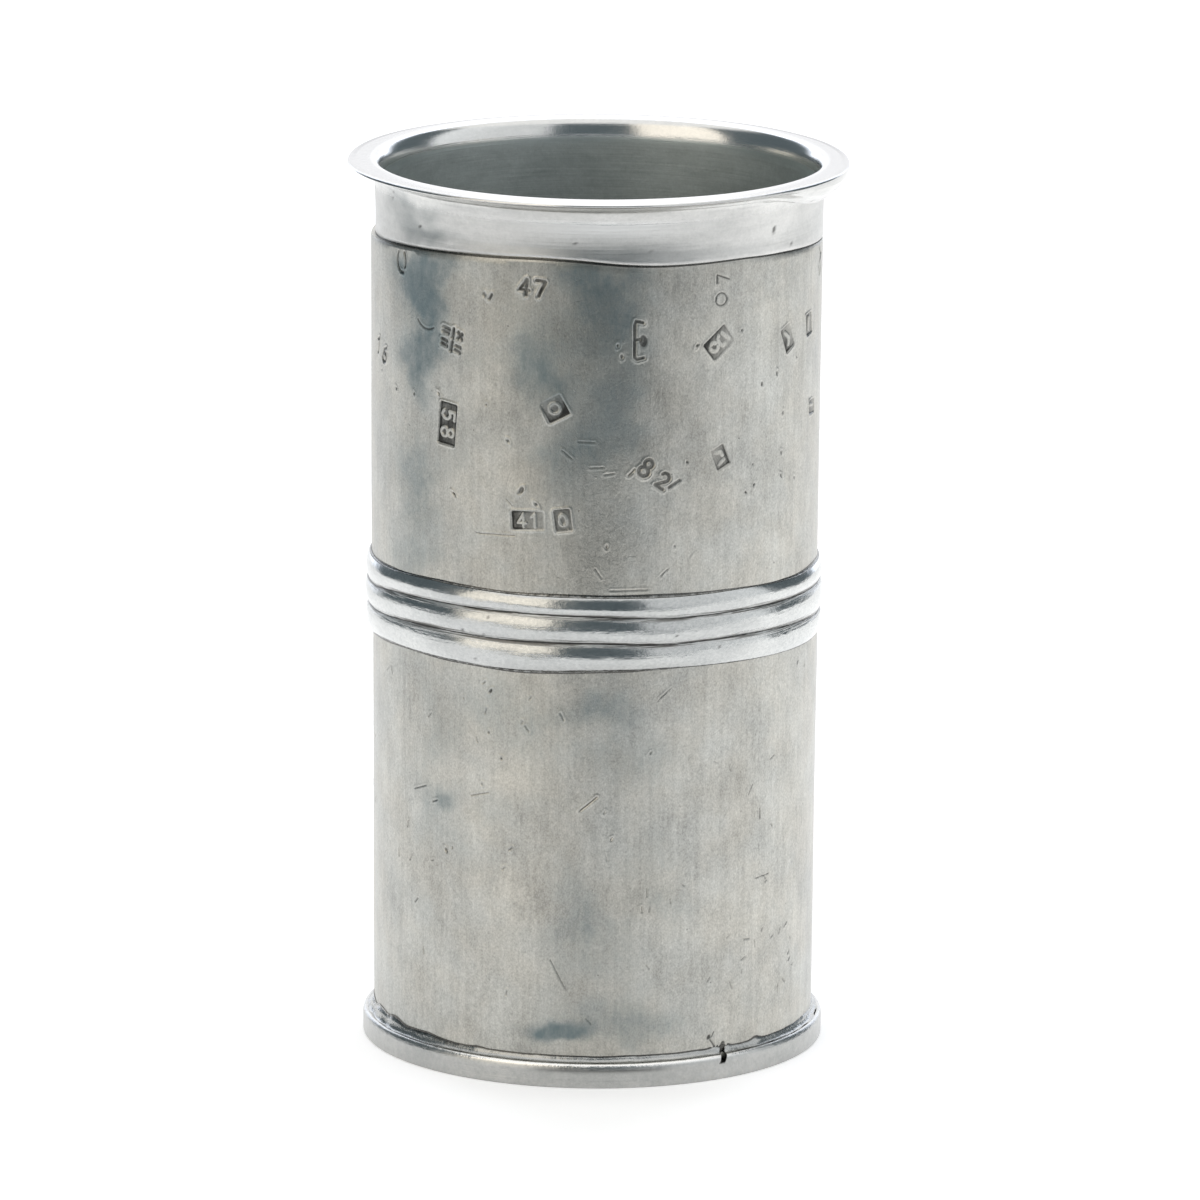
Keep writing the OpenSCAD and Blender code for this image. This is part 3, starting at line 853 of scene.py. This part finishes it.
# The collar and the throat sit a little to the right, the lip's edge hardly.
shift = np.where(r > 47, 0.02, 0.28)
place(bm, a, r, z + seam_wave(a, z) + np.minimum(rim_wave, 0), shift)
inner = smooth(TOP_Z - z, 3.2, 4.2) * (r < 44.2)
# Painted shade: the back of the brim's outer edge is darker.
rim = smooth(r, LIP_R - 2.0, LIP_R - 1.2) * (z > TOP_Z - 0.7) * smooth(abs(a), 80, 125)
over = (r > BORE_TOP + THROAT_W + 0.2) & (z > TOP_Z - 0.75)
# Painted shade: the brim's top is darker at the sides than at the front and back.
side = smooth(abs(np.sin(np.radians(a))) + 0.12 * (r - 47), 0.45, 0.95) * over
# Painted highlight: the collar and cove are lighter at the front and a little to its left, and the
# brim's top and the throat's upper band are lighter all round.
painted_front_highlight = 0.8 * smooth(z, 170.5, 173.2) * (1 - smooth(z, 174.4, 175.4)) * np.exp(-(a / 19) ** 2)
painted_front_highlight += 0.45 * (1 - smooth(z, 167.4, 170)) * np.exp(-((a + 17) / 10) ** 2)
bright = np.where(over, 1.0, np.where(out, painted_front_highlight, 0.45 * smooth(z, 173.5, 175)))
# Painted shade: a dark line under the lip's edge, from the front round the right.
painted_lip_shade = np.exp(-((z - TOP_Z + 0.85) / 0.13) ** 2) * (r > LIP_R - 1.2) * 0.7 * smooth(a, -25, 0)
tarnish = patches(a, z, collar_tarnish) * out
lip_collar = piece("lip_and_collar", bm, turned_pewter, polish=polish, tarnish=tarnish, side=side,
                   grime=np.maximum(grime * out, painted_lip_shade), inner=inner, rim=rim, bright=bright)
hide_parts("lip_collar")
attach(lip_collar, "root")

# A thread of solder fills the seam under the collar. It follows the slow wave of the upper
# drum's edge, and dirt has settled in it.
bm = turned([(lap_r + 0.06, SEAM_Z - 0.02), (COLLAR_R - 0.22, SEAM_Z - 0.02),
             (COLLAR_R - 0.26, SEAM_Z + 0.38), (lap_r + 0.06, SEAM_Z + 0.38)], step=0.3)
a, r, z = polar(bm)
place(bm, a, r, z + seam_wave(a, z), 0.1)
seam_thread = piece("collar_seam", bm, solder, grime=np.full(len(a), 0.9))
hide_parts("collar_solder")
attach(seam_thread, "root")

# The foot is a flat strip of pewter bent round the drum. Its ends meet at the right of the
# front, and the gap between them was never quite filled.
STRIP_R = 46.42
STRIP_H = 4.9
GAP_ANGLE = 35.1
GAP_HALF = 0.85
GAP_LEAN = 0.7


def gap_lean(a, z):
    """How far a point beside the gap moves round in degrees, as the gap's sides aren't upright."""
    return np.exp(-(turn_from(a, GAP_ANGLE) / 3) ** 2) * (z - STRIP_H) * GAP_LEAN


def strip_finish():
    material, f = new_finish("strip_pewter")
    lines = f.noise(0.8, 3, 0.6, (0.05, 0.05, 1.5))
    cloud = f.noise(0.10, 4, 0.6)
    mottle = f.noise(0.8, 4, 0.65)
    tone = 0.5 + 0.5 * cloud + 0.35 * mottle + 0.3 * f.noise(2.2, 2, 0.6)
    colour = f.blend(tone, (0.385, 0.393, 0.385), (0.565, 0.563, 0.546))
    stained = f.blend(f.step(mottle + 0.4 * cloud, 0.35, 1.3) * 0.5, colour, (0.17, 0.18, 0.18))
    # The top edge is lighter: worn a little all round, and at the front a painted highlight.
    worn = f.blend(f.layer("edge"), stained, (0.86, 0.855, 0.83))
    colour = f.blend(f.layer("grime") * 0.95, worn, (0.02, 0.02, 0.02))
    f.metal(colour, 0.30 + 0.06 * cloud - 0.12 * f.layer("edge"), lines + 1.6 * mottle, 0.03)
    return material


strip_pewter = strip_finish()
gap_edges = [GAP_ANGLE + s * (GAP_HALF + o) for s in (-1, 1) for o in (-0.04, 0.0, 0.04, 0.25)]
angles = np.sort(np.concatenate([np.arange(288) * 1.25, gap_edges]))
strip = [(drum_r(2) + 0.05, 0)] + arc(STRIP_R - 0.4, 0.4, 0.4, 0.4, -90, 0, 6) + arc(
    STRIP_R - 0.8, STRIP_H - 1.4, 0.8, 1.4, 0, 90, 14) + [(drum_r(2) + 0.05, STRIP_H)]
bm = turned(strip, angles=angles, step=0.5)
a, r, z = polar(bm)
in_gap = abs(a - GAP_ANGLE) < GAP_HALF + 0.001
dents = waviness(a * 2, z * 3, 0.05, 41)
ding = 0.25 * np.exp(-((a - 29) * 0.8 / 0.7) ** 2 - ((z - 2.2) / 0.5) ** 2)
r = np.where(r > drum_r(2) + 0.6, r + np.minimum(dents, 0.05) - ding, r)
leaned = a + gap_lean(a, z)
z = np.where(in_gap, np.minimum(z, 3.4), z)
place(bm, leaned, r, z, 0.02)
# The strip's top edge is worn smooth and a little lighter all round, and much lighter at the front:
# a painted highlight.
worn_edge_and_highlight = smooth(z, STRIP_H - 0.75, STRIP_H - 0.4) * (1 - 0.8 * smooth(abs(a), 26, 46)) * ~in_gap
streak = 0.6 * np.exp(-((z - 3.6) / 0.4) ** 2) * (1 - smooth(abs(a - 2.5), 9, 22))
grime = np.maximum(in_gap * smooth(z, 3.1, 3.3), streak * (r > STRIP_R - 0.3))
foot_strip = piece("foot_strip", bm, strip_pewter, grime=grime, edge=worn_edge_and_highlight)
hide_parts("foot_ring")
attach(foot_strip, "root")

# A sloping bead of solder closes the strip to the drum. It was laid with a hot iron in short
# runs, so it lies in lumps, each with its angle, half width and height, and the gap parts it.
LUMPS = [(-63, 3.0, 0.7), (-75, 3.0, 0.9), (-86, 2.5, 0.8), (-48, 3.0, 0.5), (-31, 1.6, 0.3),
         (33.2, 1.2, 0.5), (37.0, 1.0, 0.4), (47.5, 1.4, 0.8), (63, 2.6, 0.3), (72, 3.0, 0.35),
         (95, 5.0, 0.8), (130, 6.0, 0.7), (165, 5.0, 0.9), (-110, 5.0, 0.9), (-150, 6.0, 0.6)]
BEAD_H = 1.25
BEAD_MM_PER_DEGREE = 0.79
round_angles = np.concatenate([
    [GAP_ANGLE + 0.93 * GAP_HALF],
    np.linspace(GAP_ANGLE + GAP_HALF, GAP_ANGLE + 360 - GAP_HALF, 600),
    [GAP_ANGLE + 360 - 0.93 * GAP_HALF]])
wall_r = drum_r(6.9) + 0.04
bead = fillet(wall_r, STRIP_H + 0.02, STRIP_R - 0.85 - wall_r, BEAD_H, 1, 14)
bm = turned(bead, angles=round_angles, step=0.3)
a, r, z = polar(bm)
lift = np.zeros(len(a))
for a0, half, size in LUMPS:
    u = turn_from(a, a0) * BEAD_MM_PER_DEGREE
    lift += size * np.exp(-(u / half) ** 2)
heaped = 0.9 * smooth(-a, 30, 70) * (a < 0) + 0.3 * smooth(a, 56, 84) * (a > 0)
share = np.clip((z - STRIP_H) / BEAD_H, 0, 1)
coarse = 0.25 + 0.75 * smooth(-a, 45, 62) + 0.35 * smooth(a, 50, 75)
rough = (waviness(a * 3, z * 6, 0.18, 51) + waviness(a * 9, z * 14, 0.16, 52)) * coarse
z = z + share * (lift * 0.75 + heaped) + np.where(share > 0.02, rough, 0)
swell = (lift + 0.3) * 0.45 * (1 - share) ** 0.5 * share * 2 + rough * 0.6 * (1 - share)
r = np.minimum(r + np.where(r > wall_r + 0.06, swell, 0), STRIP_R - 0.3)
r = np.where(r > wall_r + 0.05, np.maximum(r, wall_r + 0.06), r)
in_gap = abs(turn_from(a, GAP_ANGLE)) < GAP_HALF * 0.97
r = np.where(in_gap, wall_r, r)
place(bm, a + gap_lean(a, z), r, np.maximum(z, STRIP_H + 0.03), 0.02)
dirt = np.maximum(smooth(share, 0.6, 0.9) * (0.85 - 0.4 * smooth(abs(a), 50, 80)), in_gap)
dirt = np.maximum(dirt, 0.25 * coarse)
stain = 0.45 * smooth(-a, 28, 40) * (1 - smooth(-a, 58, 66)) * smooth(share, 0.2, 0.6)
dirt = np.maximum(dirt, stain)
foot_bead = piece("foot_solder_bead", bm, solder, crease=60, grime=dirt)
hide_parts("foot_solder")
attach(foot_bead, "root")

# The measure stands on a sheet of white paper that reaches 42 cm in front of it. To the
# camera and in the metal it gives light of its own, and it keeps the measure's faint shadow.
# In the metal this glow is a painted reflection, brighter behind the measure and to the right;
# to the camera it is dimmer just in front of the foot, a painted shadow.
sheet = bpy.data.meshes.new("paper")
sheet.from_pydata([(-1.0, -0.42, 0), (1.3, -0.42, 0), (1.3, 2.4, 0), (-1.0, 2.4, 0)], [],
                  [(0, 1, 2, 3)])
paper, f = new_finish("paper")
seen = f.node("ShaderNodeLightPath", out="Is Camera Ray")
mirrored = f.node("ShaderNodeLightPath", out="Is Glossy Ray")
spot = f.node("ShaderNodeTexCoord", out="Object")
paper_x = f.node("ShaderNodeSeparateXYZ", None, {0: spot}, out="X")
paper_y = f.node("ShaderNodeSeparateXYZ", None, {0: spot}, out="Y")
# Painted reflection: in the metal the paper glows more behind the measure and to the right, and
# less far behind.
painted_reflection_glow = 0.2 + 0.28 * f.step(paper_y, -0.07, 0.03) - 0.14 * f.step(paper_y, 0.22, 0.55)
painted_reflection_glow = painted_reflection_glow + 0.10 * f.step(paper_x, -0.15, 0.2)
# Painted shadow: to the camera the paper glows less just in front of the foot.
far = (paper_x ** 2.0 + ((paper_y + 0.046) * 2.5) ** 2.0) ** 0.5
plain = 0.27 + 0.08 * f.step(far, 0.0, 0.04)
fibres = f.noise(0.02, 3, 0.5)
tint = f.blend(0.5 + 0.5 * fibres, (0.86, 0.86, 0.86), (0.88, 0.88, 0.88))
diffuse = f.node("ShaderNodeBsdfDiffuse", None, {"Color": tint})
glow = f.node("ShaderNodeEmission", None, {
    "Color": f.blend(seen * plain + mirrored * painted_reflection_glow, (0, 0, 0), (1, 1, 1)), "Strength": 1.0})
both = f.node("ShaderNodeAddShader", None, {0: diffuse, 1: glow})
f.node("ShaderNodeOutputMaterial", None, {"Surface": both})
sheet.materials.append(paper)
floor = bpy.data.objects.new("paper_floor", sheet)
bpy.context.scene.collection.objects.link(floor)

# The studio round it: a white wall behind and a white ceiling, a warm soft box at the left
# front, a cooler one at the right, and the dark room between them. The camera sees it white.
DEGREES = 57.296
world = bpy.data.worlds.new("studio")
world.use_nodes = True
bpy.context.scene.world = world
f = Finish(world.node_tree)
toward = f.node("ShaderNodeTexCoord", out="Generated")
east = f.node("ShaderNodeSeparateXYZ", None, {0: toward}, out="X")
north = Strand(f, east.out.node.outputs["Y"])
up = Strand(f, east.out.node.outputs["Z"])
bearing = f.node("ShaderNodeMath", {"operation": "ARCTAN2"}, {0: east, 1: north * -1.0}) * DEGREES
height = f.node("ShaderNodeMath", {"operation": "ARCSINE"}, {0: up}) * DEGREES


def band(value, low, high, soft):
    """1 between low and high and 0 outside, with soft edges."""
    return f.step(value, low - soft, low + soft) * (1 - f.step(value, high - soft, high + soft))


left_box = band(bearing, -70, -20, 2.5) * band(height, -6, 52, 1.5)
right_box = band(bearing, 27, 101, 2.5) * band(height, -8, 52, 1.5)
away = f.size(bearing)
wall = f.step(away, 138, 150)
ceiling = f.step(height, 42, 52)
room = (0.122, 0.152, 0.168)
lit = f.blend(left_box, room, (1.45, 1.36, 1.22))
outward = f.blend(f.step(bearing, 50, 100), (0.86, 0.88, 0.90), (1.06, 1.09, 1.12))
lit = f.blend(right_box, lit, outward)
lit = f.blend(ceiling, lit, (1.15, 1.15, 1.15))
lit = f.blend(wall, lit, (2.04, 2.16, 2.42))
backdrop = f.blend(f.step(height, 14, 27), (1.26, 1.27, 1.31), (1.62, 1.62, 1.64))
lit = f.blend(f.step(away, 150, 164), lit, backdrop)
seen = f.node("ShaderNodeLightPath", out="Is Camera Ray")
shown = f.blend(seen, lit, (1.0, 1.0, 1.0))
sky = f.node("ShaderNodeBackground", None, {"Color": shown, "Strength": 1.0})
f.node("ShaderNodeOutputWorld", None, {"Surface": sky})

# The camera stands two metres in front and looks a little down, through a long lens. The
# picture's colours are left as they are rendered.
camera = bpy.data.objects.new("camera", bpy.data.cameras.new("camera"))
camera.data.lens = 306.05
camera.data.sensor_width = 36
camera.data.shift_x = 0.00402
camera.data.shift_y = -0.00412
camera.data.clip_start = 0.1
camera.data.clip_end = 60
camera.location = (0, -2.0, 0.547034)
aim = (Vector((0, 0, 0.090)) - camera.location).to_track_quat("-Z", "Y").to_matrix()
roll = Matrix.Rotation(np.radians(0.43942), 3, "Z")
camera.rotation_euler = (aim @ roll).to_euler()
bpy.context.scene.collection.objects.link(camera)
bpy.context.scene.camera = camera
bpy.context.scene.view_settings.view_transform = "Standard"

bpy.context.view_layer.update()
